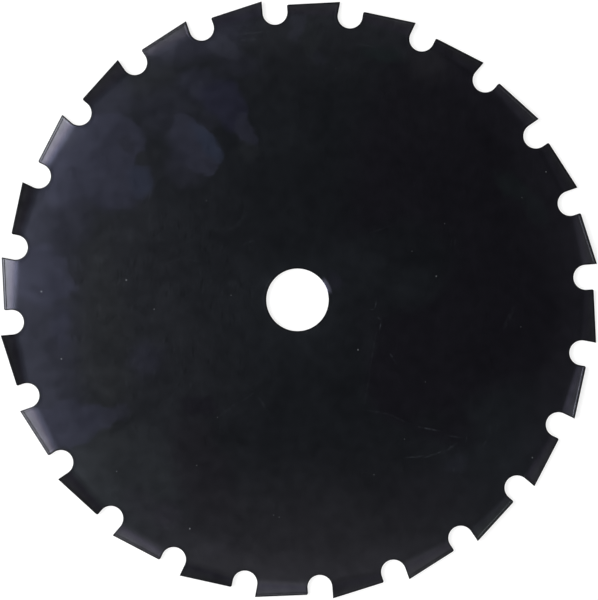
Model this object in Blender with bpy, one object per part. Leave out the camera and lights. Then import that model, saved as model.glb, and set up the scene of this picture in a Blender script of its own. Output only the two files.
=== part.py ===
"""Brush cutter blade: one round steel plate with a plain bore and a rim of punched, set teeth.

Lengths are in metres and +Z is up. The plate lies flat, with the origin at the centre of its bore and
at half its thickness. A gullet is centred on the +X axis. Seen from above, every tooth leads with its
tip clockwise. Tooth 0, the one just counter-clockwise of the +X axis, is set upwards, tooth 1 is set
downwards, and so on round the rim.

The plate is modelled the way it is made: a flat blank with bore and gullets punched out, then each
tooth bent along a straight line across its root, then the rims of the blank taken off its sharp edge.
"""

import math

import bmesh
import bpy
from mathutils import Matrix, Vector

# Plate
TIP_DIAMETER = 0.2445
PLATE_THICKNESS = 0.0018
BORE_DIAMETER = 0.0254
EDGE_CHAMFER = 0.00025

# Teeth and gullets, all measured on the flat blank
TOOTH_COUNT = 24
GULLET_WIDTH = 0.0101
GULLET_DEPTH = 0.01005  # from the tip circle in to the bottom of a gullet
HEEL_DROP = 0.0022  # from the tip circle in to the heel of a tooth
HEEL_CORNER_RADIUS = 0.0007

# Set of the teeth
BEND_CLEARANCE = 0.0014  # from the gullet bottoms out to where the bend begins
BEND_LENGTH = 0.0036
SET_ANGLE = math.radians(5.0)

# Facets that round shapes are made of
BORE_FACETS_PER_TOOTH = 4
GULLET_FACETS_PER_SIDE = 10
HEEL_CORNER_FACETS = 3
BEND_FACETS = 5

# Finish: blue-black stove lacquer
LACQUER_COLOR = (0.011, 0.011, 0.015, 1.0)
LACQUER_ROUGHNESS = 0.32

PITCH = 2 * math.pi / TOOTH_COUNT
TIP_RADIUS = TIP_DIAMETER / 2
HEEL_RADIUS = TIP_RADIUS - HEEL_DROP
GULLET_RADIUS = GULLET_WIDTH / 2
GULLET_BOTTOM_RADIUS = TIP_RADIUS - GULLET_DEPTH
GULLET_CENTRE_RADIUS = GULLET_BOTTOM_RADIUS + GULLET_RADIUS
BEND_START = GULLET_BOTTOM_RADIUS + BEND_CLEARANCE
WELD_DISTANCE = 1e-6
SLIVER_LENGTH = 5e-5


def polar(radius, angle):
    """A point of the blank's plane at a radius and an angle from +X."""
    return Vector((radius * math.cos(angle), radius * math.sin(angle)))


def turned(point, angle):
    """A point of the blank's plane turned about the bore's axis."""
    return Matrix.Rotation(angle, 2) @ point


def wall_point(radius, side):
    """Where a gullet's straight wall, or its continuation, meets a circle round the bore.

    The gullet is centred on +X. side is 1 for the counter-clockwise wall and -1 for the clockwise one.
    """
    return Vector((math.sqrt(radius**2 - GULLET_RADIUS**2), side * GULLET_RADIUS))


def gullet_side(back_start, back_end, side):
    """One side of a gullet centred on +X, from its bottom to where the tooth's back edge cuts it off.

    The back edge is the line through back_start and back_end. Where the line passes outside the round
    bottom, the side is a full quarter round and a straight wall. Where it cuts into the round bottom,
    the side ends on the arc.
    """
    centre = Vector((GULLET_CENTRE_RADIUS, 0.0))
    run = (back_end - back_start).normalized()
    mouth = back_start + run * ((side * GULLET_RADIUS - back_start.y) / run.y)
    sweep = math.pi / 2
    if mouth.x < centre.x:
        offset = back_start - centre
        along = offset.dot(run)
        half_chord = math.sqrt(along**2 - offset.length_squared + GULLET_RADIUS**2)
        hits = [back_start + run * (step - along) for step in (-half_chord, half_chord)]
        mouth = max(hits, key=lambda hit: side * hit.y)
        sweep = math.acos((centre.x - mouth.x) / GULLET_RADIUS)
    arc = []
    for step in range(GULLET_FACETS_PER_SIDE + 1):
        angle = math.pi - side * sweep * step / GULLET_FACETS_PER_SIDE
        arc.append(centre + polar(GULLET_RADIUS, angle))
    if (arc[-1] - mouth).length > WELD_DISTANCE:
        arc.append(mouth)
    return arc


def sector_outline():
    """One pitch of the flat blank, from the middle of one gullet to the middle of the next.

    Returns the outline's points, counter-clockwise, the index of the heel among them, and the indices
    of the points that start the two cuts along which the sector joins its neighbours.
    """
    tip = wall_point(TIP_RADIUS, 1)
    heel = turned(wall_point(HEEL_RADIUS, -1), PITCH)
    front = gullet_side(tip, heel, 1)
    rear = gullet_side(turned(heel, -PITCH), turned(tip, -PITCH), -1)
    rear = [turned(point, PITCH) for point in rear]
    bore = []
    for step in range(BORE_FACETS_PER_TOOTH + 1):
        angle = PITCH * (1 - step / BORE_FACETS_PER_TOOTH)
        bore.append(polar(BORE_DIAMETER / 2, angle))
    points = front + rear[::-1] + bore
    heel_index = len(front)
    first_seam = len(front) + len(rear) - 1
    second_seam = len(points) - 1
    return points, heel_index, (first_seam, second_seam)


def flat_sector():
    """One pitch of the blank at its full thickness, open where it joins its neighbours."""
    points, heel_index, seams = sector_outline()
    bm = bmesh.new()
    half = PLATE_THICKNESS / 2
    lower = [bm.verts.new((p.x, p.y, -half)) for p in points]
    upper = [bm.verts.new((p.x, p.y, half)) for p in points]
    bm.faces.new(upper)
    bm.faces.new(lower[::-1])
    for i in range(len(points)):
        if i not in seams:
            j = (i + 1) % len(points)
            bm.faces.new((lower[i], lower[j], upper[j], upper[i]))
    heel_edge = bm.edges.get((lower[heel_index], upper[heel_index]))
    bmesh.ops.bevel(
        bm,
        geom=[heel_edge],
        offset=HEEL_CORNER_RADIUS,
        segments=HEEL_CORNER_FACETS,
        profile=0.5,
        affect="EDGES",
        clamp_overlap=True,
    )
    return bm


def score_bend_lines(bm):
    """Cuts the sector across its tooth, so that the bend has an edge at each step of its curve."""
    outward = Vector((math.cos(PITCH / 2), math.sin(PITCH / 2), 0.0))
    for step in range(BEND_FACETS + 1):
        distance = BEND_START + BEND_LENGTH * step / BEND_FACETS
        bmesh.ops.bisect_plane(
            bm,
            geom=bm.verts[:] + bm.edges[:] + bm.faces[:],
            dist=WELD_DISTANCE,
            plane_co=outward * distance,
            plane_no=outward,
        )
    bmesh.ops.remove_doubles(bm, verts=bm.verts[:], dist=SLIVER_LENGTH)


def set_tooth(bm, direction):
    """Bends the sector's tooth up (direction 1) or down (-1) about the line across its root."""
    outward = Vector((math.cos(PITCH / 2), math.sin(PITCH / 2), 0.0))
    bend_radius = BEND_LENGTH / SET_ANGLE
    for vert in bm.verts:
        distance = vert.co.dot(outward)
        beyond = distance - BEND_START
        if beyond <= 0:
            continue
        angle = SET_ANGLE * min(beyond / BEND_LENGTH, 1.0)
        straight = max(beyond - BEND_LENGTH, 0.0)
        height = direction * vert.co.z
        reach = bend_radius * math.sin(angle) + straight * math.cos(angle) - height * math.sin(angle)
        rise = bend_radius * (1 - math.cos(angle)) + straight * math.sin(angle) + height * math.cos(angle)
        vert.co += outward * (BEND_START + reach - distance)
        vert.co.z = direction * rise


def join_sectors():
    """All sectors round the bore, their teeth set up and down in turn, merged into one plate."""
    plate = bmesh.new()
    for direction, first in ((1, 0), (-1, 1)):
        sector = flat_sector()
        score_bend_lines(sector)
        set_tooth(sector, direction)
        mesh = bpy.data.meshes.new("sector")
        sector.to_mesh(mesh)
        sector.free()
        for index in range(first, TOOTH_COUNT, 2):
            before = len(plate.verts)
            plate.from_mesh(mesh)
            plate.verts.ensure_lookup_table()
            added = plate.verts[before:]
            turn = Matrix.Rotation(index * PITCH, 3, "Z")
            bmesh.ops.rotate(plate, cent=(0.0, 0.0, 0.0), matrix=turn, verts=added)
        bpy.data.meshes.remove(mesh)
    bmesh.ops.remove_doubles(plate, verts=plate.verts[:], dist=WELD_DISTANCE)
    return plate


def is_wall(face):
    """True for a face of the blank's punched edge, false for one of its two broad sides."""
    return abs(face.normal.z) < math.sin(math.radians(45))


def break_edges(plate):
    """Chamfers every rim of the plate, where a broad side meets the punched edge."""
    rims = []
    for edge in plate.edges:
        if len({is_wall(face) for face in edge.link_faces}) == 2:
            rims.append(edge)
    bmesh.ops.bevel(
        plate,
        geom=rims,
        offset=EDGE_CHAMFER,
        segments=1,
        affect="EDGES",
        clamp_overlap=True,
    )


def lacquer_material():
    """Blue-black stove lacquer on steel."""
    material = bpy.data.materials.new("blue_black_lacquer")
    material.use_nodes = True
    shader = material.node_tree.nodes["Principled BSDF"]
    shader.inputs["Base Color"].default_value = LACQUER_COLOR
    shader.inputs["Roughness"].default_value = LACQUER_ROUGHNESS
    shader.inputs["Metallic"].default_value = 0.0
    material.diffuse_color = LACQUER_COLOR
    return material


def make_blade():
    """The finished blade as one object."""
    plate = join_sectors()
    plate.normal_update()
    break_edges(plate)
    bmesh.ops.recalc_face_normals(plate, faces=plate.faces[:])
    mesh = bpy.data.meshes.new("brush_cutter_blade")
    plate.to_mesh(mesh)
    plate.free()
    mesh.shade_smooth()
    mesh.set_sharp_from_angle(angle=math.radians(30))
    mesh.materials.append(lacquer_material())
    blade = bpy.data.objects.new("brush_cutter_blade", mesh)
    bpy.context.scene.collection.objects.link(blade)
    return blade


def main():
    for item in list(bpy.data.objects):
        bpy.data.objects.remove(item)
    make_blade()


main()
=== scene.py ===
"""Brush cutter blade: the lacquered plate with its rounded rims and set teeth, in a small photo studio.

Lengths are in metres and +Z is up. The plate lies flat round the Z axis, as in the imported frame: a
gullet is centred on +X, tooth 0 is the one just counter-clockwise of it, and even teeth are set up.

The blade is made from one pitch, the wedge of plate that carries one tooth. The wedge is cut out, the
bore and its two half gullets are punched, the rims are rounded, and the tooth is bent up in one copy
and down in another. Copies of both go round the bore in turn and are welded into one plate.
"""

import math

import bmesh
import bpy
from bpy.props import FloatProperty, FloatVectorProperty, IntProperty, PointerProperty
from mathutils import Matrix, Vector


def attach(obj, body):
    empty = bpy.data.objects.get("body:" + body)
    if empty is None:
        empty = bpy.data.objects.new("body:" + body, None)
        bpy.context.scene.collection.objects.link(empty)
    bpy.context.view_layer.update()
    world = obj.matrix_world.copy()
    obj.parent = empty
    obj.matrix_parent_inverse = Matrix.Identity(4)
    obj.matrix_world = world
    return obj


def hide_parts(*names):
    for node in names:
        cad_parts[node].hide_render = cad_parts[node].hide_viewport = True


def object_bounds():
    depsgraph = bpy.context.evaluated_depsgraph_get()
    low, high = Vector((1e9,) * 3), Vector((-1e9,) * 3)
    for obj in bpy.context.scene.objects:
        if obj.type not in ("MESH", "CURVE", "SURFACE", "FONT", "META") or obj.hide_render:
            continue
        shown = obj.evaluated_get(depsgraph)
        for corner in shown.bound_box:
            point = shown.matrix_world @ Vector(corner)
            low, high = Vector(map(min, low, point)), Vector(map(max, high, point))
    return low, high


bl_info = {
    "name": "Brush Cutter Blade",
    "version": (1, 0, 0),
    "blender": (4, 5, 0),
    "location": "3D View > Sidebar > Blade",
    "description": "Makes a lacquered brush cutter blade with set teeth, and the studio round it",
    "category": "Add Mesh",
}

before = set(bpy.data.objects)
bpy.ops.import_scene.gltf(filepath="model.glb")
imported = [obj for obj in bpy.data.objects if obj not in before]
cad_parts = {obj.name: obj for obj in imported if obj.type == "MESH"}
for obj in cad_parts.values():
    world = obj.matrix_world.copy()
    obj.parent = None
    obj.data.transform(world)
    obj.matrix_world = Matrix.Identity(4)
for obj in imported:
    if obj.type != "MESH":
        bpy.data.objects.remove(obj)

NODE = "brush_cutter_blade"
BODY = "root"
CAD_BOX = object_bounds()

# Points nearer to a line or a plane than this are taken to lie on it
TOUCH = 1e-6


class BladeSizes(bpy.types.PropertyGroup):
    """Sizes of the plate and its teeth, measured on the flat blank."""

    tooth_count: IntProperty(
        name="Teeth", description="Teeth round the rim, an even number", default=24
    )
    tip_diameter: FloatProperty(
        name="Tip Circle", description="Diameter over the tips of the teeth", default=0.2445, unit="LENGTH"
    )
    thickness: FloatProperty(
        name="Thickness", description="Thickness of the steel plate", default=0.0018, unit="LENGTH"
    )
    bore: FloatProperty(
        name="Bore", description="Diameter of the hole in the middle", default=0.0254, unit="LENGTH"
    )
    gullet_width: FloatProperty(
        name="Gullet Width",
        description="Width of a gullet between two teeth",
        default=0.0101,
        unit="LENGTH",
    )
    gullet_depth: FloatProperty(
        name="Gullet Depth",
        description="From the tip circle in to the bottom of a gullet",
        default=0.01005,
        unit="LENGTH",
    )
    heel_drop: FloatProperty(
        name="Heel Drop",
        description="From the tip circle in to the heel of a tooth",
        default=0.0022,
        unit="LENGTH",
    )
    heel_round: FloatProperty(
        name="Heel Round",
        description="Radius of the rounded heel corner",
        default=0.0007,
        unit="LENGTH",
    )
    bend_clearance: FloatProperty(
        name="Bend Clearance",
        description="From the gullet bottoms out to where the teeth begin to bend",
        default=0.0014,
        unit="LENGTH",
    )
    bend_length: FloatProperty(
        name="Bend Length",
        description="Length over which a tooth is bent",
        default=0.0036,
        unit="LENGTH",
    )
    set_angle: FloatProperty(
        name="Set",
        description="Angle that the teeth are bent up and down",
        default=math.radians(5),
        unit="ROTATION",
    )
    rim_round: FloatProperty(
        name="Rim Round", description="Rounding of the rims", default=0.00026, unit="LENGTH"
    )


class LacquerColors(bpy.types.PropertyGroup):
    """Colours and gloss of the lacquer."""

    film: FloatVectorProperty(
        name="Film",
        description="Tint of the light that the plain lacquer reflects; all stains are shares of it",
        default=(0.050, 0.0533, 0.0658),
        subtype="COLOR",
        size=3,
    )
    specks: FloatVectorProperty(
        name="Specks",
        description="Colour of dust and pits",
        default=(0.18, 0.19, 0.20),
        subtype="COLOR",
        size=3,
    )
    gloss_spread: FloatProperty(
        name="Roughness",
        description="Roughness of the lacquer's gloss",
        default=0.22,
        subtype="FACTOR",
    )


class StudioSettings(bpy.types.PropertyGroup):
    """Colours, lamps and camera of the studio."""

    floor_color: FloatVectorProperty(
        name="Floor",
        description="Colour of the floor",
        default=(0.8, 0.8, 0.8),
        subtype="COLOR",
        size=3,
    )
    key_power: FloatProperty(
        name="Softbox",
        description="Power of the large softbox on the left",
        default=31.4,
        unit="POWER",
    )
    fill_power: FloatProperty(
        name="Fill",
        description="Power of the weak fill lamp at the near side",
        default=2.7,
        unit="POWER",
    )
    room_light: FloatProperty(
        name="Room Light", description="Strength of the dim room", default=0.066
    )
    lens: FloatProperty(
        name="Lens", description="Focal length of the camera in millimetres", default=177.03
    )


def blade_sizes():
    """The blade's sizes as set in the panel."""
    return bpy.context.scene.blade_sizes


def lacquer_colors():
    """The lacquer's colours as set in the panel."""
    return bpy.context.scene.lacquer_colors


def studio_settings():
    """The studio's settings as set in the panel."""
    return bpy.context.scene.studio_settings


# Small modelling helpers


def activate(thing):
    """Makes one object the only selected one, and the active one."""
    bpy.ops.object.select_all(action="DESELECT")
    thing.select_set(True)
    bpy.context.view_layer.objects.active = thing


def edit(thing):
    """Opens an object in edit mode with nothing selected."""
    activate(thing)
    bpy.ops.object.mode_set(mode="EDIT")
    bpy.ops.mesh.select_all(action="DESELECT")


def leave_edit():
    """Goes back to object mode."""
    bpy.ops.object.mode_set(mode="OBJECT")


def pick(kind, test):
    """In edit mode, selects the verts, edges or faces that pass a test, and nothing else.

    Returns how many there are.
    """
    thing = bpy.context.edit_object
    bpy.ops.mesh.select_mode(type={"verts": "VERT", "edges": "EDGE", "faces": "FACE"}[kind])
    bpy.ops.mesh.select_all(action="DESELECT")
    bm = bmesh.from_edit_mesh(thing.data)
    bm.normal_update()
    found = [item for item in getattr(bm, kind) if test(item)]
    for item in found:
        item.select_set(True)
    bm.select_flush_mode()
    bmesh.update_edit_mesh(thing.data)
    return len(found)


def bisect(point, normal, **options):
    """In edit mode, cuts the whole mesh with a plane."""
    bpy.ops.mesh.select_all(action="SELECT")
    bpy.ops.mesh.bisect(plane_co=point, plane_no=normal, threshold=TOUCH, **options)


def apply_modifier(thing, kind, **settings):
    """Adds a modifier to the active object, sets it and applies it."""
    bpy.ops.object.modifier_add(type=kind)
    modifier = thing.modifiers[-1]
    for name, value in settings.items():
        setattr(modifier, name, value)
    bpy.ops.object.modifier_apply(modifier=modifier.name)


def punch(thing, cutter):
    """Cuts a cutter out of an object and removes the cutter."""
    activate(thing)
    apply_modifier(thing, "BOOLEAN", operation="DIFFERENCE", object=cutter, solver="EXACT")
    bpy.data.objects.remove(cutter)


def duplicate(thing):
    """A copy of an object with its own mesh."""
    activate(thing)
    bpy.ops.object.duplicate(linked=False)
    return bpy.context.active_object


def turn_about_bore(thing, angle):
    """Turns an object about the bore's axis, in its mesh."""
    activate(thing)
    thing.rotation_euler.z = angle
    bpy.ops.object.transform_apply(location=False, rotation=True, scale=False)


# The blade


class ToothPlan:
    """Lines and points of one pitch of the blank, with its tooth pointing along +X."""

    def __init__(self, sizes):
        self.sizes = sizes
        self.half_pitch = math.pi / sizes.tooth_count
        self.tip_radius = sizes.tip_diameter / 2
        self.heel_radius = self.tip_radius - sizes.heel_drop
        self.gullet_radius = sizes.gullet_width / 2
        self.gullet_bottom = self.tip_radius - sizes.gullet_depth
        self.gullet_centre = self.gullet_bottom + self.gullet_radius
        self.bend_start = self.gullet_bottom + sizes.bend_clearance
        self.tip = self.wall_point(self.tip_radius, 1)
        self.heel = self.wall_point(self.heel_radius, -1)
        back = self.heel - self.tip
        self.back_normal = Vector((back.y, -back.x, 0.0)).normalized()

    def wall_point(self, radius, side):
        """Where the wall that a gullet shares with the tooth meets a circle round the bore.

        side is 1 for the gullet clockwise of the tooth and -1 for the one counter-clockwise of it.
        """
        along = math.sqrt(radius**2 - self.gullet_radius**2)
        point = Vector((along, side * self.gullet_radius, 0.0))
        return Matrix.Rotation(-side * self.half_pitch, 3, "Z") @ point

    def seam_normal(self, side):
        """The outward normal of the cut counter-clockwise (side 1) or clockwise (-1) of the tooth."""
        return Matrix.Rotation(side * self.half_pitch, 3, "Z") @ Vector((0.0, side, 0.0))


# Length of the plate that the wedge is cut from, in tip radii
WEDGE_LENGTH = 1.1


def cut_wedge(plan):
    """A wedge of plate from the axis out to the tooth's back edge, one pitch wide."""
    reach = plan.tip_radius * WEDGE_LENGTH
    bpy.ops.mesh.primitive_cube_add(size=1.0, location=(reach / 2, 0.0, 0.0))
    wedge = bpy.context.active_object
    wedge.scale = (reach, reach, plan.sizes.thickness)
    bpy.ops.object.transform_apply(location=True, rotation=False, scale=True)
    edit(wedge)
    for side in (1, -1):
        bisect((0.0, 0.0, 0.0), plan.seam_normal(side), clear_outer=True, use_fill=True)
    bisect(plan.tip, plan.back_normal, clear_outer=True, use_fill=True)
    leave_edit()
    return wedge


# Facets of the round punches
GULLET_FACETS = 96
BORE_FACETS_PER_TOOTH = 8
# Height of the punches in plate thicknesses, and how far a gullet's punch runs outwards, in tip radii
PUNCH_HEIGHT = 3
PUNCH_RUN = 0.1


def gullet_punch(plan, side):
    """The punch for one gullet: round at its inner end and straight from there outwards."""
    centre = plan.gullet_centre
    height = plan.sizes.thickness * PUNCH_HEIGHT
    bpy.ops.mesh.primitive_circle_add(
        vertices=GULLET_FACETS, radius=plan.gullet_radius, location=(centre, 0.0, -height / 2)
    )
    cutter = bpy.context.active_object
    bpy.ops.object.transform_apply(location=True, rotation=True, scale=True)
    edit(cutter)
    pick("verts", lambda vert: vert.co.x > centre + TOUCH)
    bpy.ops.mesh.delete(type="VERT")
    pick("verts", lambda vert: abs(vert.co.x - centre) < TOUCH)
    run = (plan.tip_radius * PUNCH_RUN, 0.0, 0.0)
    bpy.ops.mesh.extrude_region_move(TRANSFORM_OT_translate={"value": run})
    bpy.ops.mesh.select_all(action="SELECT")
    bpy.ops.mesh.edge_face_add()
    bpy.ops.mesh.extrude_region_move(TRANSFORM_OT_translate={"value": (0.0, 0.0, height)})
    bpy.ops.mesh.select_all(action="SELECT")
    bpy.ops.mesh.normals_make_consistent(inside=False)
    leave_edit()
    turn_about_bore(cutter, side * plan.half_pitch)
    return cutter


def bore_punch(plan):
    """The punch for the bore, with a corner of its many-sided round on every seam between pitches."""
    bpy.ops.mesh.primitive_cylinder_add(
        vertices=plan.sizes.tooth_count * BORE_FACETS_PER_TOOTH,
        radius=plan.sizes.bore / 2,
        depth=plan.sizes.thickness * PUNCH_HEIGHT,
    )
    cutter = bpy.context.active_object
    turn_about_bore(cutter, plan.half_pitch)
    return cutter


HEEL_ROUND_FACETS = 6
# How far the heel's edge may stand from the heel's place
HEEL_REACH = 2e-5


def round_heel(tooth, plan):
    """Rounds the corner where the tooth's back meets the gullet behind it."""
    edit(tooth)
    count = pick(
        "edges",
        lambda edge: all((vert.co.xy - plan.heel.xy).length < HEEL_REACH for vert in edge.verts),
    )
    if count != 1:
        raise RuntimeError(f"the heel corner has {count} edges")
    bpy.ops.mesh.bevel(offset=plan.sizes.heel_round, segments=HEEL_ROUND_FACETS, affect="EDGES")
    leave_edit()


# A face is a wall where the upward part of its normal is less than this
WALL_LEAN = 0.3
# Two walls meet in a sharp edge where their normals turn by more than this
SHARP_TURN = math.radians(40)
RIM_SEGMENTS = 5
# Shares of the full rounding on the rims of the teeth, on the rims of the bore and on the tip's edge
RIM_SHARE = 1.0
BORE_SHARE = 0.6
TIP_SHARE = 0.6
# Points nearer to a cut than this belong on it, even if the rounding has moved them off it
CUT_REACH = 5e-5
SAME_POINT = 1e-7


def is_wall(face):
    """True for a face of the punched edge, false for one of the broad sides."""
    return abs(face.normal.z) < WALL_LEAN


def rim_share(edge, plan):
    """How much of the full rounding an edge gets, and 0 for an edge that isn't a rim."""
    if len(edge.link_faces) != 2:
        return 0.0
    first, second = edge.link_faces
    if is_wall(first) and is_wall(second):
        sharp = first.normal.dot(second.normal) < math.cos(SHARP_TURN)
        return TIP_SHARE if sharp else 0.0
    if not is_wall(first) and not is_wall(second):
        return 0.0
    if edge.verts[0].co.xy.length < plan.sizes.bore:
        return BORE_SHARE
    return RIM_SHARE


def round_rims(tooth, plan):
    """Rounds every rim of a pitch, and brings the ends of the rims back onto the cuts."""
    edit(tooth)
    for share in sorted({RIM_SHARE, BORE_SHARE, TIP_SHARE}):
        if pick("edges", lambda edge: rim_share(edge, plan) == share):
            bpy.ops.transform.edge_bevelweight(value=share)
    leave_edit()
    apply_modifier(
        tooth,
        "BEVEL",
        width=plan.sizes.rim_round,
        segments=RIM_SEGMENTS,
        limit_method="WEIGHT",
        use_clamp_overlap=False,
    )
    edit(tooth)
    for side in (1, -1):
        normal = plan.seam_normal(side)
        bm = bmesh.from_edit_mesh(tooth.data)
        places = [vert.co.copy() for vert in bm.verts]
        strays = [place for place in places if SAME_POINT < abs(place.dot(normal)) < CUT_REACH]
        for place in strays:
            pick("verts", lambda vert: (vert.co - place).length < SAME_POINT)
            bpy.ops.transform.translate(value=-normal * place.dot(normal))
    leave_edit()


BEND_STEPS = 8
# Points closer together than this are merged after the cuts of the bend
SLIVER = 1.5e-5


def bend_tooth(tooth, plan, direction):
    """Bends the tooth up (direction 1) or down (-1), a little at each of several lines across its root."""
    edit(tooth)
    length = plan.sizes.bend_length
    lines = [plan.bend_start + length * (step + 0.5) / BEND_STEPS for step in range(BEND_STEPS)]
    for line in lines:
        bisect((line, 0.0, 0.0), (1.0, 0.0, 0.0))
    bpy.ops.mesh.select_all(action="SELECT")
    bpy.ops.mesh.remove_doubles(threshold=SLIVER)
    turn = plan.sizes.set_angle / BEND_STEPS
    for line in reversed(lines):
        pick("verts", lambda vert: vert.co.x > line + TOUCH)
        bpy.ops.transform.rotate(
            value=direction * turn,
            orient_axis="Y",
            orient_type="GLOBAL",
            center_override=(line, 0.0, 0.0),
        )
    leave_edit()


# Distance within which the points of two pitches meet on their cut
SEAM_WELD = 5e-6


def open_seams(tooth, plan):
    """Takes off the two faces along which the pitch joins its neighbours."""
    edit(tooth)
    for side in (1, -1):
        normal = plan.seam_normal(side)
        pick("faces", lambda face: all(abs(vert.co.dot(normal)) < SEAM_WELD for vert in face.verts))
        bpy.ops.mesh.delete(type="ONLY_FACE")
    leave_edit()


def weld_pitches(pitches):
    """Joins the pitches into one closed plate."""
    bpy.ops.object.select_all(action="DESELECT")
    for pitch in pitches:
        pitch.select_set(True)
    bpy.context.view_layer.objects.active = pitches[0]
    bpy.ops.object.join()
    plate = bpy.context.active_object
    edit(plate)
    bpy.ops.mesh.select_all(action="SELECT")
    bpy.ops.mesh.remove_doubles(threshold=SEAM_WELD)
    bpy.ops.mesh.normals_make_consistent(inside=False)
    leave_edit()
    return plate


# Edges that turn by less than this are shaded smooth
SMOOTH_TURN = math.radians(35)


def make_plate():
    """The finished blade as one object, without its finish."""
    plan = ToothPlan(blade_sizes())
    flat = cut_wedge(plan)
    punch(flat, bore_punch(plan))
    for side in (1, -1):
        punch(flat, gullet_punch(plan, side))
    open_seams(flat, plan)
    round_heel(flat, plan)
    round_rims(flat, plan)
    bent = []
    for direction in (1, -1):
        tooth = duplicate(flat)
        bend_tooth(tooth, plan, direction)
        bent.append(tooth)
    bpy.data.objects.remove(flat)
    pitches = []
    for index in range(plan.sizes.tooth_count):
        pitch = duplicate(bent[index % 2])
        turn_about_bore(pitch, (2 * index + 1) * plan.half_pitch)
        pitches.append(pitch)
    for tooth in bent:
        bpy.data.objects.remove(tooth)
    plate = weld_pitches(pitches)
    activate(plate)
    bpy.ops.object.shade_smooth_by_angle(angle=SMOOTH_TURN)
    apply_modifier(plate, "WEIGHTED_NORMAL", mode="FACE_AREA", keep_sharp=True)
    plate.name = "lacquered_blade"
    plate.data.name = "lacquered_blade"
    return plate


# Shader graphs


# Sockets of the Mix node, whose inputs share their names: the two inputs and the result
MIX_VECTORS = (4, 5, 1)
MIX_COLORS = (6, 7, 2)


class Graph:
    """The nodes of one material."""

    def __init__(self, name):
        self.material = bpy.data.materials.new(name)
        self.material.use_nodes = True
        self.tree = self.material.node_tree
        self.tree.nodes.clear()
        self.turned = {}

    def node(self, kind, settings=None, sockets=None):
        """Adds a node: its settings first, then the values or links of its sockets."""
        node = self.tree.nodes.new(kind)
        for name, value in (settings or {}).items():
            setattr(node, name, value)
        for key, value in (sockets or {}).items():
            if isinstance(value, Wire):
                self.tree.links.new(value.socket, node.inputs[key])
            else:
                node.inputs[key].default_value = value
        return node

    def wire(self, kind, settings=None, sockets=None, output=0):
        """Adds a node and gives one of its outputs."""
        return Wire(self, self.node(kind, settings, sockets).outputs[output])

    def vector(self, operation, *vectors):
        """Vector Math on vectors."""
        return self.wire("ShaderNodeVectorMath", {"operation": operation}, dict(enumerate(vectors)))

    def turn(self, vector, degrees):
        """A vector's coordinates along axes turned about Z, worked out once for each angle."""
        if (vector, degrees) not in self.turned:
            angle = (0.0, 0.0, -math.radians(degrees))
            turned = self.wire("ShaderNodeMapping", None, {"Vector": vector, "Rotation": angle})
            self.turned[vector, degrees] = turned
        return self.turned[vector, degrees]

    def length(self, vector):
        """The length of a vector."""
        return self.wire("ShaderNodeVectorMath", {"operation": "LENGTH"}, {0: vector}, "Value")

    def split(self, vector):
        """The three parts of a vector."""
        node = self.node("ShaderNodeSeparateXYZ", None, {0: vector})
        return [Wire(self, output) for output in node.outputs]

    def step(self, value, start, end, height=1.0):
        """Rises smoothly from 0 where the value is start to a height where it is end."""
        return self.wire(
            "ShaderNodeMapRange",
            {"interpolation_type": "SMOOTHSTEP"},
            {"Value": value, "From Min": start, "From Max": end, "To Max": height},
        )

    def noise(self, vector, size, detail):
        """Soft noise from 0 to 1 with features of about the given size."""
        sockets = {"Vector": vector, "Scale": 1 / size, "Detail": detail}
        return self.wire("ShaderNodeTexNoise", None, sockets, "Fac")

    def mix(self, factor, first, second, blend="MIX"):
        """Two colours mixed, or blended in another of the Mix node's ways, as far as the factor says."""
        first_socket, second_socket, result = MIX_COLORS
        settings = {"data_type": "RGBA", "blend_type": blend}
        sockets = {"Factor": factor, first_socket: first, second_socket: second}
        return self.wire("ShaderNodeMix", settings, sockets, result)

    def choose(self, factor, first, second):
        """One vector where the factor is 0, and another where it is 1."""
        first_socket, second_socket, result = MIX_VECTORS
        sockets = {"Factor": factor, first_socket: first, second_socket: second}
        return self.wire("ShaderNodeMix", {"data_type": "VECTOR"}, sockets, result)

    def scale(self, vector, factor):
        """A vector or a colour with all of its parts multiplied by a number."""
        sockets = {0: vector, "Scale": factor}
        return self.wire("ShaderNodeVectorMath", {"operation": "SCALE"}, sockets)


class Wire:
    """One output of a node. Expressions on wires add the Math nodes that work them out."""

    def __init__(self, graph, socket):
        self.graph = graph
        self.socket = socket

    def math(self, operation, *others):
        """A Math node whose first value is this one."""
        sockets = {0: self, **dict(enumerate(others, 1))}
        return self.graph.wire("ShaderNodeMath", {"operation": operation}, sockets)

    def __add__(self, other):
        return self.math("ADD", other)

    __radd__ = __add__

    def __sub__(self, other):
        return self.math("SUBTRACT", other)

    def __rsub__(self, other):
        return self.graph.wire("ShaderNodeMath", {"operation": "SUBTRACT"}, {0: other, 1: self})

    def __mul__(self, other):
        return self.math("MULTIPLY", other)

    __rmul__ = __mul__

    def __truediv__(self, other):
        return self.math("DIVIDE", other)


# Finish


# Tints of the lacquer's film, as shares of the plain film's red, green and blue
TEAL_GREY = (0.60, 0.63, 0.63)
OLIVE = (0.81, 0.82, 0.81)
KHAKI = (0.96, 0.97, 0.86)
PLUM = (0.61, 0.55, 0.61)
PALE_TEAL = (0.86, 0.92, 0.91)
GREEN = (0.76, 0.90, 0.83)
TAN = (1.14, 1.06, 1.03)
MOSS = (0.99, 1.03, 0.97)
RED_BROWN = (0.73, 0.66, 0.68)
LILAC_HAZE = (1.06, 1.04, 1.20)
LILAC = (1.28, 1.26, 1.54)
VIOLET = (0.95, 0.92, 1.28)
BLUE = (1.17, 1.33, 1.75)
PALE = (1.50, 1.48, 1.66)
GREY = (0.95, 0.96, 0.94)
DUSK = (0.84, 0.82, 0.92)
ROSE = (0.92, 0.85, 0.90)
# Tint of the painted highlight on the bore's rim
BORE_HIGHLIGHT_TINT = (5.5, 5.3, 6.0)
PINK = (1.17, 1.04, 1.12)
DARK = (0.54, 0.56, 0.55)

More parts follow.
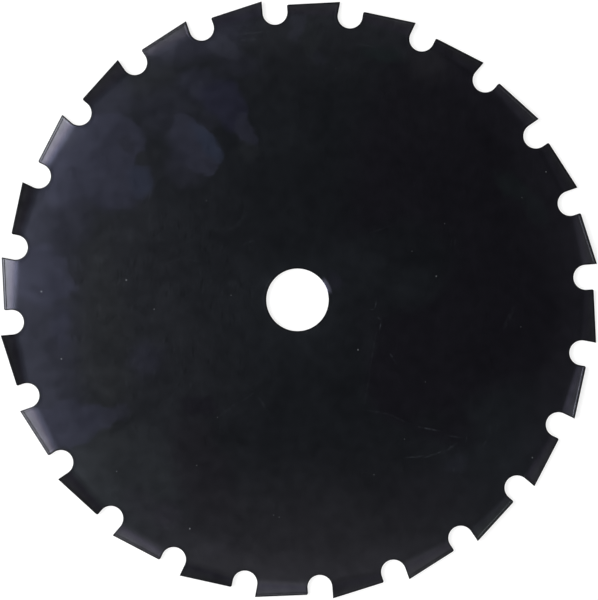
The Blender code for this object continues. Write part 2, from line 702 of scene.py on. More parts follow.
# Stains of the film in the order in which they lie on each other: tint, centre x and y, half width and
# half height, turn in degrees, softness of the border as a share of the size, and strength
STAINS = (
    # Broad zones of the ground
    (OLIVE, -0.066, -0.002, 0.044, 0.066, 0, 0.45, 1.0),
    (PLUM, 0.074, 0.022, 0.050, 0.090, 0, 0.22, 1.0),
    (TEAL_GREY, 0.040, 0.010, 0.025, 0.018, 15, 0.3, 0.9),
    (PALE_TEAL, 0.047, 0.001, 0.009, 0.007, 0, 0.7, 0.8),
    (PLUM, 0.048, -0.034, 0.023, 0.022, 0, 0.16, 1.0),
    (PALE_TEAL, -0.006, -0.006, 0.028, 0.022, -15, 0.5, 0.55),
    (PALE_TEAL, -0.003, -0.046, 0.015, 0.020, 0, 0.7, 0.12),
    (PALE_TEAL, 0.022, 0.011, 0.017, 0.011, 15, 0.5, 0.75),
    (TEAL_GREY, -0.036, 0.029, 0.022, 0.011, -45, 0.5, 0.55),
    (TEAL_GREY, -0.041, 0.010, 0.010, 0.013, 0, 0.5, 0.4),
    (TEAL_GREY, -0.050, 0.049, 0.006, 0.006, 0, 0.5, 0.4),
    (PALE_TEAL, -0.002, 0.069, 0.011, 0.010, 0, 0.6, 0.4),
    (GREY, 0.015, 0.116, 0.050, 0.026, 0, 0.7, 0.9),
    (PALE_TEAL, 0.074, -0.061, 0.028, 0.016, 30, 0.4, 0.95),
    (TAN, -0.008, -0.118, 0.085, 0.040, 0, 0.75, 1.0),
    (MOSS, -0.078, -0.064, 0.026, 0.020, -30, 0.4, 1.0),
    (RED_BROWN, -0.044, -0.066, 0.011, 0.023, 15, 0.4, 0.8),
    (LILAC_HAZE, -0.116, 0.000, 0.029, 0.060, 0, 0.4, 0.85),
    (KHAKI, -0.081, -0.012, 0.010, 0.042, 0, 0.6, 0.6),
    (LILAC_HAZE, -0.071, 0.0855, 0.013, 0.009, 30, 0.35, 0.9),
    (LILAC_HAZE, -0.096, 0.041, 0.015, 0.012, 0, 0.4, 0.9),
    (GREY, -0.052, 0.094, 0.010, 0.008, 30, 0.5, 0.8),
    (ROSE, 0.108, 0.018, 0.014, 0.046, 15, 0.6, 0.45),
    (ROSE, 0.104, -0.046, 0.014, 0.026, -30, 0.6, 0.55),
    (ROSE, 0.056, 0.074, 0.018, 0.012, -45, 0.6, 0.40),
    (PLUM, 0.055, -0.053, 0.015, 0.008, -45, 0.5, 0.85),
    (PINK, 0.047, -0.081, 0.016, 0.010, 15, 0.6, 0.25),
    (LILAC_HAZE, -0.047, 0.081, 0.012, 0.010, 0, 0.5, 0.7),
    (LILAC_HAZE, -0.017, 0.097, 0.009, 0.005, 0, 0.5, 0.7),
    (LILAC_HAZE, -0.0300, 0.0765, 0.004, 0.004, 0, 0.6, 0.6),
    (PINK, -0.070, -0.078, 0.009, 0.006, -30, 0.5, 0.35),
    (TAN, -0.040, -0.081, 0.009, 0.007, 0, 0.6, 0.4),
    # Large lilac patch at the upper left
    (LILAC, -0.077, 0.070, 0.021, 0.012, 0, 0.10, 0.92),
    (LILAC, -0.091, 0.060, 0.012, 0.014, 0, 0.3, 0.9),
    (LILAC, -0.071, 0.055, 0.015, 0.0122, -15, 0.25, 0.92),
    (BLUE, -0.0605, 0.0535, 0.0042, 0.007, 0, 0.5, 0.6),
    (DUSK, -0.0648, 0.068, 0.0032, 0.0036, 0, 0.4, 0.65),
    (OLIVE, -0.0565, 0.0625, 0.0052, 0.0028, 15, 0.3, 1.0),
    (PALE, -0.088, 0.074, 0.004, 0.006, 0, 0.6, 0.6),
    # Oval beside it, with a blue border on its right
    (LILAC_HAZE, -0.0405, 0.0575, 0.0080, 0.0070, 0, 0.5, 0.8),
    (LILAC, -0.0432, 0.0666, 0.0042, 0.0080, 15, 0.5, 0.6),
    (LILAC, -0.0396, 0.0710, 0.0064, 0.0090, 15, 0.08, 0.72),
    (LILAC, -0.0352, 0.0675, 0.0066, 0.0084, 30, 0.08, 0.80),
    (LILAC, -0.0335, 0.0618, 0.0072, 0.0092, 15, 0.08, 0.86),
    (BLUE, -0.0312, 0.0665, 0.0090, 0.0034, -60, 0.4, 1.0),
    # Violet trail from the rim towards the middle
    (LILAC, -0.0315, 0.0900, 0.0105, 0.0058, -15, 0.35, 0.70),
    (VIOLET, -0.0250, 0.0845, 0.0090, 0.0068, 0, 0.25, 0.90),
    (VIOLET, -0.0206, 0.0775, 0.0058, 0.0072, 15, 0.25, 0.90),
    (LILAC, -0.0158, 0.0700, 0.0038, 0.0066, 15, 0.25, 0.85),
    (MOSS, -0.0150, 0.0615, 0.0040, 0.0032, 0, 0.5, 0.6),
    (LILAC_HAZE, -0.030, 0.109, 0.020, 0.008, 15, 0.5, 1.0),
    (PALE, -0.0225, 0.1055, 0.0082, 0.0036, -30, 0.45, 0.9),
    (PALE, -0.046, 0.107, 0.006, 0.004, 30, 0.4, 0.6),
    # Left rim
    (LILAC, -0.104, 0.018, 0.011, 0.0125, 0, 0.15, 0.8),
    (LILAC, -0.097, 0.0135, 0.0075, 0.005, -15, 0.2, 0.95),
    (LILAC, -0.097, -0.004, 0.0035, 0.008, 0, 0.6, 0.85),
    (LILAC, -0.099, -0.043, 0.014, 0.0095, 0, 0.15, 0.75),
    (LILAC, -0.086, -0.042, 0.009, 0.0048, 0, 0.15, 0.75),
    (LILAC_HAZE, -0.078, -0.041, 0.006, 0.0035, 15, 0.3, 0.8),
    (DARK, -0.0755, -0.0455, 0.006, 0.0018, 30, 0.6, 0.5),
    (LILAC_HAZE, -0.063, -0.019, 0.006, 0.0065, 0, 0.7, 0.95),
    # Top rim
    (PALE, 0.0085, 0.111, 0.0035, 0.006, -15, 0.5, 0.6),
    (MOSS, 0.0135, 0.104, 0.0035, 0.009, 0, 0.4, 1.0),
    (LILAC_HAZE, 0.0155, 0.097, 0.0028, 0.003, 0, 0.6, 0.6),
    (GREEN, 0.043, 0.0965, 0.008, 0.0035, -15, 0.5, 1.0),
    (TAN, 0.060, 0.091, 0.008, 0.006, -30, 0.7, 0.7),
    # Right side
    (GREEN, 0.0905, 0.0385, 0.0085, 0.0036, -45, 0.5, 0.7),
    (PALE_TEAL, 0.099, 0.0295, 0.0038, 0.0060, 15, 0.6, 0.9),
    (PALE, 0.0590, -0.0715, 0.0042, 0.0034, 15, 0.7, 0.50),
    (PALE_TEAL, 0.0255, -0.028, 0.0024, 0.020, -15, 0.5, 0.25),
    # Lower half
    (PINK, -0.038, -0.099, 0.0085, 0.0034, 15, 0.35, 0.2),
    (PINK, -0.060, -0.083, 0.005, 0.005, 0, 0.5, 0.6),
    (DARK, -0.031, -0.0545, 0.0065, 0.0045, 15, 0.5, 0.8),
    (PLUM, -0.043, -0.0395, 0.007, 0.004, -15, 0.4, 0.9),
    (DARK, -0.077, -0.016, 0.005, 0.004, 0, 0.6, 0.4),
    (DARK, 0.050, -0.0525, 0.008, 0.0035, 0, 0.6, 0.6),
    # Painted glow round the painted highlight on the rim of the bore
    (LILAC_HAZE, 0.0155, 0.0068, 0.0026, 0.0036, 15, 0.6, 0.8),
)
# How far noise shifts the borders of the stains, and the noise's size, detail and roughness
BORDER_WOBBLE = 0.010
BORDER_GRAIN = 0.009
BORDER_DETAIL = 5.0
BORDER_ROUGHNESS = 0.72

# The painted highlight on the rim of the bore, as the arguments of patch, and the radii between which it
# ends
PAINTED_BORE_HIGHLIGHT = (0.0127, 0.0048, 0.0044, 0.0030, -60, 1.0, 0.35, 0.95)
BORE_HIGHLIGHT_END = (0.0148, 0.0138)

# The painted shade along the rims, and the film where it is rubbed or chipped, as shares of the plain film
RIM_PAINTED_SHADE = (0.20, 0.20, 0.20)
RUBBED = (2.6, 2.7, 2.6)
CHIPPED = (2.0, 2.1, 1.9)

# Film tint on the bent flaps of the teeth, with painted light: flaps whose set catches more of the softbox
# are brighter; counter-clockwise from the tooth beside +X
DULL_FLAP = (0.92, 0.86, 0.83)
PLAIN_FLAP = (1.08, 1.03, 1.03)
WARM_FLAP = (1.27, 1.19, 1.19)
ROSY_FLAP = (1.50, 1.42, 1.41)
LILAC_FLAP = (1.66, 1.58, 1.74)
OLIVE_FLAP = (1.60, 1.64, 1.50)
BRIGHT_FLAP = (2.38, 2.25, 2.33)
FLAP_TINTS_AND_LIGHT = (
    (ROSY_FLAP, ROSY_FLAP, WARM_FLAP, WARM_FLAP, WARM_FLAP, ROSY_FLAP)
    + (LILAC_FLAP, ROSY_FLAP, ROSY_FLAP, WARM_FLAP, WARM_FLAP, PLAIN_FLAP)
    + (PLAIN_FLAP, WARM_FLAP, WARM_FLAP, WARM_FLAP, PLAIN_FLAP, PLAIN_FLAP)
    + (ROSY_FLAP, DULL_FLAP, OLIVE_FLAP, WARM_FLAP, BRIGHT_FLAP, ROSY_FLAP)
)
# Distances from the start of the bend between which a flap's own film and painted light set in
FLAP_START = (0.0016, 0.0034)
# A flap is violet at its root and its heel, and olive at its back edge and its tip: both tints, how deep
# the olive reaches from the back edge, and how much of it comes from that edge and from the tip
FLAP_ROOT = (0.86, 0.79, 0.98)
FLAP_TIP = (1.25, 1.28, 1.13)
FLAP_DEPTH = 0.005
OLIVE_FROM_BACK = 0.6
OLIVE_FROM_TIP = 0.4

# The film is thicker, and so paler, near the rim and the bore: from which radius, to which, and how much
RIM_HAZE = (0.100, 0.112, 0.28)
BORE_HAZE = (0.019, 0.013, 0.12)

# Noises in the lacquer, as the arguments of noise: size and detail
CLOUDS = (0.022, 2.0)
MOTTLE = (0.005, 3.0)
GRAIN = (0.0010, 1.0)
RIPPLE = (0.0025, 1.0)
BREAKS = (0.0012, 2.0)
CHIPS = (0.0014, 2.0)
WALL_LINES = (0.0004, 2.0)

# How much the clouds, the mottle and the grain with its dashes brighten and darken the film
CLOUD_TONE = 0.20
MOTTLE_TONE = 0.22
FLAP_MOTTLE_TONE = 0.30
DASH_TONE = 0.24
GRAIN_TONE = 0.08

# The rolling grain: its turn in degrees, its stretch, and values of its noise between which dashes set in
GRAIN_TURN = -4.5
GRAIN_STRETCH = (1.0, 0.22, 1.0)
LIGHT_DASH = (0.63, 0.74)
DARK_DASH = (0.37, 0.26)
# Strength of the grain all over, and where it is stronger, as the arguments of patch
GRAIN_GROUND = 0.4
GRAINY_MIDDLE = (-0.060, 0.005, 0.040, 0.050, 0, 1.3, 0.6, 0.7)
GRAINY_RIM = (-0.088, 0.052, 0.026, 0.034, 0, 1.3, 0.5, 0.45)

# Pale specks: centre x and y
LARGE_SPECKS = (
    (-0.0690, 0.0135),
    (-0.0980, -0.0165),
    (-0.0510, -0.0895),
    (0.0570, 0.0052),
    (0.1045, 0.0438),
    (0.0230, -0.0221),
    (0.0900, -0.0711),
    (-0.1040, 0.0115),
)
SMALL_SPECKS = (
    (-0.0585, 0.0008),
    (-0.0268, 0.0040),
    (-0.0143, -0.0875),
    (-0.0165, -0.0865),
    (-0.0790, -0.0640),
    (0.0940, 0.0342),
    (0.0620, 0.0262),
    (0.0492, -0.0372),
    (0.0390, -0.0597),
    (0.0255, -0.0732),
    (0.0895, -0.0180),
    (0.0480, 0.0160),
    (-0.0338, 0.0432),
    (-0.0362, -0.0452),
    (-0.0462, -0.0640),
)
# Radii at which a speck begins and has its full strength, and that strength
LARGE_SPECK = (0.00040, 0.00012, 1.0)
SMALL_SPECK = (0.00028, 0.000084, 0.7)
# Specks scattered one to a cell: size of the cells, radii of a speck in cells, strength, and numbers drawn
# by the cells between which their specks grow stronger
SPECK_CELL = 0.008
CELL_SPECK = (0.030, 0.016)
CELL_STRENGTH = 0.35
CELL_DRAW = (0.5, 1.0)

# Scratches and rub marks: centre x and y, half length, half width, turn in degrees and strength
MARKS = (
    # Two long scratches at the lower right
    (0.0290, -0.0480, 0.0070, 0.00060, -15, 0.50),
    (0.0370, -0.0512, 0.0060, 0.00050, -30, 0.45),
    (0.0490, -0.0563, 0.0058, 0.00050, -15, 1.50),
    (0.0592, -0.0603, 0.0036, 0.00050, -15, 1.00),
    (0.0425, -0.0672, 0.0050, 0.00055, 0, 1.40),
    (0.0505, -0.0668, 0.0060, 0.00055, 15, 1.50),
    (0.0572, -0.0646, 0.0046, 0.00080, 30, 0.80),
    (0.0715, -0.0636, 0.0020, 0.00050, 60, 2.00),
    (0.0640, -0.0615, 0.0030, 0.00035, 75, 0.80),
    (0.0580, -0.0735, 0.0016, 0.00040, 75, 1.60),
    # Long faint line down from beside the bore, with ticks and a kinked scratch at its upper end
    (0.0292, -0.0225, 0.0130, 0.00055, 75, 0.40),
    (0.0250, -0.0400, 0.0100, 0.00055, 75, 0.35),
    (0.0316, -0.0041, 0.0027, 0.00038, 75, 1.10),
    (0.0298, -0.0062, 0.0014, 0.00035, 0, 1.10),
    (0.0326, -0.0102, 0.0013, 0.00045, -45, 2.00),
    (0.0328, -0.0132, 0.0024, 0.00045, 75, 2.00),
    (0.0363, -0.0255, 0.0011, 0.00055, -60, 2.20),
    (0.0377, -0.0281, 0.0021, 0.00035, -60, 0.80),
    # Rubbed streaks near the right rim and between the bore and the right rim
    (0.0850, -0.0140, 0.0068, 0.00130, 60, 0.40),
    (0.0640, 0.0180, 0.0022, 0.00028, 75, 0.70),
    (0.0655, 0.0180, 0.0022, 0.00028, 75, 0.70),
    (0.0365, 0.0260, 0.0070, 0.00045, 15, 0.45),
    # Streaks along the upper rim
    (-0.0110, 0.1096, 0.0120, 0.00055, 0, 0.70),
    (-0.0120, 0.1070, 0.0105, 0.00060, 0, 0.55),
    (-0.0150, 0.1052, 0.0060, 0.00040, 0, 0.45),
    (0.0350, 0.1010, 0.0062, 0.00045, -15, 0.60),
    # Faint crossing lines left of and below the bore
    (-0.0318, -0.0425, 0.0070, 0.00090, 30, 0.30),
    (-0.0172, -0.0412, 0.0052, 0.00090, -60, 0.30),
    (-0.0225, -0.0375, 0.0048, 0.00040, 30, 0.45),
    (-0.0480, 0.0200, 0.0048, 0.00045, 15, 0.45),
    (-0.0400, 0.0190, 0.0042, 0.00040, -15, 0.50),
    (-0.0180, 0.0248, 0.0036, 0.00045, 15, 0.65),
    (-0.0250, 0.0080, 0.0030, 0.00040, 60, 0.45),
)
# Share of a mark's size within which it has its full strength, and how much a strength of 1 rubs off
MARK_CORE = 0.2
RUB = 0.32
# What noise leaves of the marks at least, the values of it between which it adds to that, and how much
BREAK_GROUND = 0.3
BREAK_STEP = (0.40, 0.62, 1.2)
# A faint rubbed ring, open at its top between two heights
RING_CENTRE = (-0.0275, 0.0405)
RING_RADIUS = 0.0098
RING_WIDTH = 0.0016
RING_TOP = (0.046, 0.036)
RING_STRENGTH = 0.22

# How far inside the plate's outline each of these begins and has its full strength
CHIP_INSET = (0.0016, 0.0010)
# Width of the band of painted shade along the rims
RIM_SHADE_INSET = (0.00058, 0.00042)
FAT_EDGE_INSET = (0.00135, 0.00085)
WALL_INSET = (0.00012, 0.00006)
# Chips set in between two values of their noise, and grow to their strength between two of the clouds
CHIP_STEP = (0.56, 0.64)
CHIP_CLOUDS = (0.0, 0.08, 0.45)

# Heights of the lacquer's fat edge, its ripple, the grain, and the lines that the punch leaves in the walls
FAT_EDGE_HEIGHT = 0.000040
RIPPLE_HEIGHT = 0.0000016
GRAIN_HEIGHT = 0.0000010
WALL_LINE_HEIGHT = 0.00002
WALL_LINE_STRETCH = (1.0, 1.0, 0.08)
# Height of the fat edge along the gullets and the bore, as a share of that along the teeth's backs
GULLET_EDGE = 0.35

# What clouds, mottle, punched walls and specks add to the roughness of the gloss
CLOUD_SPREAD = 0.04
MOTTLE_SPREAD = 0.05
WALL_SPREAD = 0.12
SPECK_SPREAD = 0.2

# How far the plate shines like metal, and how strongly the lacquer bends light
METALLIC = 0.93
REFRACTIVE_INDEX = 1.5

# The underside has the upper side's stains, turned round the bore by this much
UNDERSIDE_TURN = math.radians(130)


def film(share):
    """A tint of the film: a share of the plain film's tint."""
    return (*(part * plain for part, plain in zip(share, lacquer_colors().film)), 1.0)


def stained_film(graph, place):
    """The film's tint all over the plate: its ground and the stains on it, with ragged borders."""
    ragged = graph.wire(
        "ShaderNodeTexNoise",
        None,
        {
            "Vector": place,
            "Scale": 1 / BORDER_GRAIN,
            "Detail": BORDER_DETAIL,
            "Roughness": BORDER_ROUGHNESS,
        },
        "Color",
    )
    shift = graph.scale(graph.vector("SUBTRACT", ragged, (0.5, 0.5, 0.5)), BORDER_WOBBLE)
    shifted = graph.vector("ADD", place, shift)
    color = film(TEAL_GREY)
    for tint, x, y, width, height, turn, softness, strength in STAINS:
        inside = patch(graph, shifted, x, y, width, height, turn, 1 + softness, 1 - softness, strength)
        color = graph.mix(inside, color, film(tint))
    return color


def patch(graph, place, x, y, width, height, turn, outer, inner, strength):
    """An ellipse as a number, with half its width and half its height given.

    It is 0 beyond the outer multiple of that size, and at its full strength within the inner one.
    """
    along = x * math.cos(math.radians(turn)) + y * math.sin(math.radians(turn))
    across = y * math.cos(math.radians(turn)) - x * math.sin(math.radians(turn))
    scale = (1 / width, 1 / height, 0.0)
    centre = (-along / width, -across / height, 0.0)
    local = graph.vector("MULTIPLY_ADD", graph.turn(place, turn), scale, centre)
    return graph.step(graph.length(local), outer, inner, strength)


def nearest(graph, place, points):
    """The distance from the nearest of several points, for a place with a height of 0."""
    distance = None
    for x, y in points:
        sockets = {0: place, 1: (x, y, 0.0)}
        away = graph.wire("ShaderNodeVectorMath", {"operation": "DISTANCE"}, sockets, "Value")
        distance = away if distance is None else distance.math("MINIMUM", away)
    return distance


def rim_inset(graph, x, y, plan):
    """Where a point of the plate lies.

    Returns its turn round the bore from 0 to 1, its radius, its distance along its tooth, how far it lies
    inside the tooth's back, and how far it is from the nearest gullet or the bore.
    """
    radius = (x * x + y * y).math("SQRT")
    pitch = 2 * plan.half_pitch
    turn = y.math("ARCTAN2", x) / (2 * math.pi)
    local = ((turn * plan.sizes.tooth_count).math("FRACT") - 0.5) * pitch
    along = radius * local.math("COSINE")
    across = radius * local.math("SINE")
    back = (plan.tip.x - along) * plan.back_normal.x + (plan.tip.y - across) * plan.back_normal.y
    aside = plan.half_pitch - local.math("ABSOLUTE")
    inner = (radius * aside.math("COSINE") - plan.gullet_centre).math("MINIMUM", 0.0)
    sideways = radius * aside.math("SINE")
    gullet = (inner * inner + sideways * sideways).math("SQRT") - plan.gullet_radius
    bore = radius - plan.sizes.bore / 2
    return turn.math("FRACT"), radius, along, back, gullet.math("MINIMUM", bore)


def flap_tint_and_light(graph, turn, count):
    """The film tint and painted light on the teeth's flaps, one tint for each tooth."""
    ramp = graph.node("ShaderNodeValToRGB", None, {"Fac": turn})
    ramp.color_ramp.interpolation = "CONSTANT"
    stops = ramp.color_ramp.elements
    stops[1].position = 1 / count
    for tooth in range(2, count):
        stops.new(tooth / count)
    for tooth in range(count):
        stops[tooth].color = film(FLAP_TINTS_AND_LIGHT[tooth % len(FLAP_TINTS_AND_LIGHT)])
    return Wire(graph, ramp.outputs["Color"])


def flaps_tinted_and_lit(graph, color, flap, turn, back, count):
    """Puts each tooth's own film tint and painted light on its flap, and shades it from its root to its
    tip.
    """
    # Each flap's tint is partly painted light: brighter on teeth whose set catches more of the softbox
    color = graph.mix(flap, color, flap_tint_and_light(graph, turn, count))
    heelward = (turn * count).math("FRACT")
    outward = graph.step(back, FLAP_DEPTH, 0.0)
    mellow = OLIVE_FROM_BACK * outward + OLIVE_FROM_TIP * (1 - heelward)
    shade = graph.mix(mellow, (*FLAP_ROOT, 1.0), (*FLAP_TIP, 1.0))
    return graph.mix(flap, color, shade, "MULTIPLY")


def rolling_grain(graph, place):
    """The noise of the rolling grain, and what its light and dark dashes add to the film's brightness."""
    stretched = graph.vector("MULTIPLY", graph.turn(place, GRAIN_TURN), GRAIN_STRETCH)
    grain = graph.noise(stretched, *GRAIN)
    light = graph.step(grain, *LIGHT_DASH)
    dark = graph.step(grain, *DARK_DASH)
    middle = patch(graph, place, *GRAINY_MIDDLE)
    strength = GRAIN_GROUND + middle.math("MAXIMUM", patch(graph, place, *GRAINY_RIM))
    return grain, strength * (DASH_TONE * light - DASH_TONE * dark + GRAIN_TONE * (grain - 0.5))


def rub_marks(graph, place, flat_place):
    """How far the film is rubbed off, in scratches, rub marks and a ring that noise breaks up."""
    broken = BREAK_GROUND + graph.step(graph.noise(place, *BREAKS), *BREAK_STEP)
    rubbed = 0.0
    for x, y, length, width, turn, strength in MARKS:
        rubbed = patch(graph, place, x, y, length, width, turn, 1.0, MARK_CORE, strength) + rubbed
    off_ring = (nearest(graph, flat_place, (RING_CENTRE,)) - RING_RADIUS).math("ABSOLUTE")
    across = graph.split(place)[1]
    ring = graph.step(off_ring, RING_WIDTH, 0.0) * graph.step(across, *RING_TOP)
    rubbed = (rubbed + RING_STRENGTH * ring) * broken
    return (RUB * rubbed).math("MINIMUM", 1.0)


def pale_specks(graph, place, flat_place):
    """How strongly specks of dust and pits show, in the places of the two lists and scattered."""
    cells = graph.node("ShaderNodeTexVoronoi", None, {"Vector": place, "Scale": 1 / SPECK_CELL})
    draw = graph.split(Wire(graph, cells.outputs["Color"]))[0]
    away = Wire(graph, cells.outputs["Distance"])
    scattered = graph.step(away, *CELL_SPECK) * graph.step(draw, *CELL_DRAW)
    large = graph.step(nearest(graph, flat_place, LARGE_SPECKS), *LARGE_SPECK)
    small = graph.step(nearest(graph, flat_place, SMALL_SPECKS), *SMALL_SPECK)
    return (large + small + CELL_STRENGTH * scattered).math("MINIMUM", 1.0)


def rim_wear_shade_and_highlight(graph, color, place, radius, inset, clouds):
    """Puts small chips along the rims, a band of painted shade on them, and a painted highlight on the
    bore's rim.
    """
    chips = graph.step(graph.noise(place, *CHIPS), *CHIP_STEP) * graph.step(inset, *CHIP_INSET)
    color = graph.mix(chips * graph.step(clouds, *CHIP_CLOUDS), color, film(CHIPPED))
    # Painted shade: darkens a thin band along every rim
    color = graph.mix(graph.step(inset, *RIM_SHADE_INSET), color, film(RIM_PAINTED_SHADE))
    # Painted highlight: a bright lens-shaped patch on the bore's rim
    painted_highlight = patch(graph, place, *PAINTED_BORE_HIGHLIGHT) * graph.step(radius, *BORE_HIGHLIGHT_END)
    return graph.mix(painted_highlight, color, film(BORE_HIGHLIGHT_TINT))


def relief(graph, place, stain_place, back, hollow, wall, grain):
    """The surface's normal, bent by the lacquer's fat edge, its ripple, the grain and the punch's lines."""
    back_edge = graph.step(back, *FAT_EDGE_INSET)
    fat_edge = back_edge.math("MAXIMUM", GULLET_EDGE * graph.step(hollow, *FAT_EDGE_INSET))
    walls_place = graph.vector("MULTIPLY", place, WALL_LINE_STRETCH)
    height = (
        FAT_EDGE_HEIGHT * fat_edge
        + RIPPLE_HEIGHT * graph.noise(stain_place, *RIPPLE)
        + GRAIN_HEIGHT * grain
        + WALL_LINE_HEIGHT * wall * graph.noise(walls_place, *WALL_LINES)
    )
    sockets = {"Height": height, "Distance": 1.0, "Strength": 1.0}
    return graph.wire("ShaderNodeBump", None, sockets, "Normal")


def lacquer_material():
    """Blue-black stove lacquer over rolled steel, with a thin stained film."""
    graph = Graph("blue_black_lacquer")
    plan = ToothPlan(blade_sizes())
    place = graph.wire("ShaderNodeTexCoord", output="Object")
    x, y, z = graph.split(place)
    sockets = {"Vector": place, "Rotation": (0.0, 0.0, UNDERSIDE_TURN)}
    underside_place = graph.wire("ShaderNodeMapping", None, sockets)
    stain_place = graph.choose(z.math("LESS_THAN", 0.0), place, underside_place)
    flat_place = graph.vector("MULTIPLY", stain_place, (1.0, 1.0, 0.0))
    turn, radius, along, back, hollow = rim_inset(graph, x, y, plan)
    inset = back.math("MINIMUM", hollow)

    color = stained_film(graph, stain_place)
    flap = graph.step(along, *(plan.bend_start + distance for distance in FLAP_START))
    color = flaps_tinted_and_lit(graph, color, flap, turn, back, plan.sizes.tooth_count)
    clouds = graph.noise(stain_place, *CLOUDS) - 0.5
    mottle = graph.noise(stain_place, *MOTTLE) - 0.5
    tone = 1 + CLOUD_TONE * clouds + (MOTTLE_TONE + FLAP_MOTTLE_TONE * flap) * mottle
    grain, grain_tone = rolling_grain(graph, stain_place)
    tone = tone + grain_tone
    haze = (1 - flap) * graph.step(radius, *RIM_HAZE) + graph.step(radius, *BORE_HAZE)
    color = graph.scale(color, tone * (1 + haze))
    color = graph.mix(rub_marks(graph, stain_place, flat_place), color, film(RUBBED))
    specks = pale_specks(graph, stain_place, flat_place)
    color = graph.mix(specks, color, (*lacquer_colors().specks, 1.0))
    color = rim_wear_shade_and_highlight(graph, color, stain_place, radius, inset, clouds)

    wall = graph.step(inset, *WALL_INSET)
    normal = relief(graph, place, stain_place, back, hollow, wall, grain)
    roughness = lacquer_colors().gloss_spread + CLOUD_SPREAD * clouds + MOTTLE_SPREAD * mottle
    roughness = roughness + WALL_SPREAD * wall + SPECK_SPREAD * specks
    shader = graph.node(
        "ShaderNodeBsdfPrincipled",
        None,
        {
            "Base Color": color,
            "Metallic": METALLIC,
            "Roughness": roughness,
            "IOR": REFRACTIVE_INDEX,
            "Normal": normal,
        },
    )
    output = graph.node("ShaderNodeOutputMaterial")
    graph.tree.links.new(shader.outputs[0], output.inputs[0])
    return graph.material


# Studio


# Softboxes: name, azimuth counter-clockwise from +X, elevation, distance, width and height
KEY_LAMP = ("key_softbox", math.radians(167.1), math.radians(52.3), 1.6, 1.456, 1.008)
FILL_LAMP = ("fill_softbox", math.radians(267.6), math.radians(48.0), 1.003, 1.2, 0.976)

# The floor: radius of its flat part, radius of the curve at its rim, and how finely both are made
FLOOR_RADIUS = 3.0
COVE_RADIUS = 0.5
COVE_STEPS = 12
FLOOR_CORNERS = 96
# Grey and glow of the floor as the camera and reflections see it
SHOWN_GREY = (0.3, 0.3, 0.3, 1.0)
SHOWN_GLOW = 0.82


def look_at_blade(thing):
    """Turns a lamp towards the middle of the blade."""
    direction = -thing.location
    thing.rotation_euler = direction.to_track_quat("-Z", "Y").to_euler()


def add_softbox(name, azimuth, elevation, distance, width, height, power):
    """A rectangular softbox aimed at the blade."""
    flat = distance * math.cos(elevation)
    place = (flat * math.cos(azimuth), flat * math.sin(azimuth), distance * math.sin(elevation))
    bpy.ops.object.light_add(type="AREA", location=place)
    lamp = bpy.context.active_object
    lamp.name = name
    look_at_blade(lamp)
    lamp.data.shape = "RECTANGLE"
    lamp.data.size = width
    lamp.data.size_y = height
    lamp.data.energy = power


def floor_material():
    """Pale matt floor, which shows white to the camera and in reflections and keeps the soft shadow."""
    graph = Graph("pale_floor")
    path = graph.node("ShaderNodeLightPath")
    rays = ("Is Camera Ray", "Is Glossy Ray", "Is Transmission Ray")
    camera, glossy, passing = [Wire(graph, path.outputs[name]) for name in rays]
    seen = camera.math("MAXIMUM", glossy.math("MAXIMUM", passing))
    matt = graph.wire("ShaderNodeBsdfDiffuse", None, {"Color": (*studio_settings().floor_color, 1.0)})
    faint = graph.wire("ShaderNodeBsdfDiffuse", None, {"Color": SHOWN_GREY})
    glow = graph.wire("ShaderNodeEmission", None, {"Strength": SHOWN_GLOW})
    shown = graph.wire("ShaderNodeAddShader", None, {0: faint, 1: glow})
    both = graph.wire("ShaderNodeMixShader", None, {0: seen, 1: matt, 2: shown})
    graph.node("ShaderNodeOutputMaterial", None, {"Surface": both})
    return graph.material


def add_floor():
    """The pale floor under the blade, which curves up all round. It is made from its rim inwards."""
    low = CAD_BOX[0][2]
    reach = FLOOR_RADIUS + COVE_RADIUS
    height = COVE_RADIUS
    bpy.ops.mesh.primitive_circle_add(
        vertices=FLOOR_CORNERS, radius=reach, location=(0.0, 0.0, low + height)
    )
    floor = bpy.context.active_object
    floor.name = "floor"
    bpy.ops.object.transform_apply(location=True, rotation=True, scale=True)
    edit(floor)
    bpy.ops.mesh.select_all(action="SELECT")
    for step in range(1, COVE_STEPS + 1):
        angle = math.pi / 2 * step / COVE_STEPS
        next_reach = FLOOR_RADIUS + COVE_RADIUS * math.cos(angle)
        next_height = COVE_RADIUS * (1 - math.sin(angle))
        drop = (0.0, 0.0, next_height - height)
        bpy.ops.mesh.extrude_region_move(TRANSFORM_OT_translate={"value": drop})
        narrower = next_reach / reach
        bpy.ops.transform.resize(value=(narrower, narrower, 1.0), center_override=(0.0, 0.0, 0.0))
        reach = next_reach
        height = next_height
    bpy.ops.mesh.edge_face_add()
    bpy.ops.mesh.select_all(action="SELECT")
    bpy.ops.mesh.faces_shade_smooth()
    pick("faces", lambda face: len(face.verts) == FLOOR_CORNERS)
    bpy.ops.mesh.faces_shade_flat()
    leave_edit()
    floor.data.materials.append(floor_material())


# The camera, fitted to the photograph
CAMERA_PLACE = (0.05899, 0.00165, 1.19871)
CAMERA_TURN = (math.radians(-0.084), math.radians(2.788), math.radians(-4.465))
SENSOR_WIDTH = 36.0


def add_camera():
    """The camera at the photograph's place: 1.2 m above the blade and a little to its right."""
    bpy.ops.object.camera_add(location=CAMERA_PLACE)
    camera = bpy.context.active_object
    camera.rotation_mode = "ZYX"
    camera.rotation_euler = CAMERA_TURN
    camera.data.lens = studio_settings().lens
    camera.data.sensor_width = SENSOR_WIDTH
    bpy.context.scene.camera = camera


class BLADE_OT_make_blade(bpy.types.Operator):
    """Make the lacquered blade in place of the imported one"""

    bl_idname = "blade.make_blade"
    bl_label = "Make Blade"

    def execute(self, context):
        plate = make_plate()
        plate.data.materials.clear()
        plate.data.materials.append(lacquer_material())
        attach(plate, BODY)
        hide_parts(NODE)
        return {"FINISHED"}


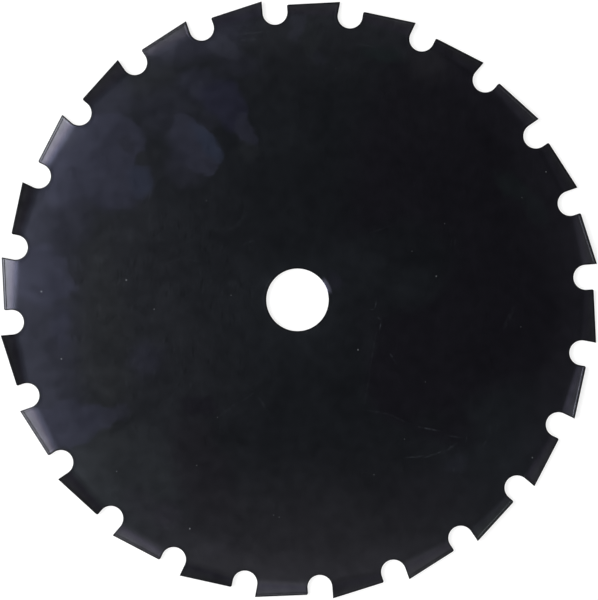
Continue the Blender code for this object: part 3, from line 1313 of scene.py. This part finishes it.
class BLADE_OT_make_studio(bpy.types.Operator):
    """Make the pale floor, the lamps and the camera"""

    bl_idname = "blade.make_studio"
    bl_label = "Make Studio"

    def execute(self, context):
        settings = studio_settings()
        add_floor()
        add_softbox(*KEY_LAMP, settings.key_power)
        add_softbox(*FILL_LAMP, settings.fill_power)
        world = bpy.data.worlds.new("dim_room")
        world.use_nodes = True
        room = world.node_tree.nodes["Background"]
        room.inputs["Color"].default_value = (1.0, 1.0, 1.0, 1.0)
        room.inputs["Strength"].default_value = settings.room_light
        context.scene.world = world
        context.scene.view_settings.view_transform = "Standard"
        add_camera()
        return {"FINISHED"}


class BLADE_PT_panel(bpy.types.Panel):
    """Sizes and steps of the blade and its studio"""

    bl_label = "Brush Cutter Blade"
    bl_idname = "BLADE_PT_panel"
    bl_space_type = "VIEW_3D"
    bl_region_type = "UI"
    bl_category = "Blade"

    def draw(self, context):
        groups = (
            (blade_sizes(), BLADE_OT_make_blade),
            (lacquer_colors(), None),
            (studio_settings(), BLADE_OT_make_studio),
        )
        for settings, operator in groups:
            box = self.layout.box()
            for name in settings.__annotations__:
                box.prop(settings, name)
            if operator:
                box.operator(operator.bl_idname)


CLASSES = (
    BladeSizes,
    LacquerColors,
    StudioSettings,
    BLADE_OT_make_blade,
    BLADE_OT_make_studio,
    BLADE_PT_panel,
)


def register():
    """Adds the add-on's classes and settings to Blender."""
    for cls in CLASSES:
        bpy.utils.register_class(cls)
    bpy.types.Scene.blade_sizes = PointerProperty(type=BladeSizes)
    bpy.types.Scene.lacquer_colors = PointerProperty(type=LacquerColors)
    bpy.types.Scene.studio_settings = PointerProperty(type=StudioSettings)


def unregister():
    """Takes the add-on's classes and settings out of Blender."""
    del bpy.types.Scene.studio_settings
    del bpy.types.Scene.lacquer_colors
    del bpy.types.Scene.blade_sizes
    for cls in reversed(CLASSES):
        bpy.utils.unregister_class(cls)


def main():
    """Makes the blade and its studio."""
    register()
    bpy.ops.blade.make_blade()
    bpy.ops.blade.make_studio()


if __name__ == "__main__":
    main()
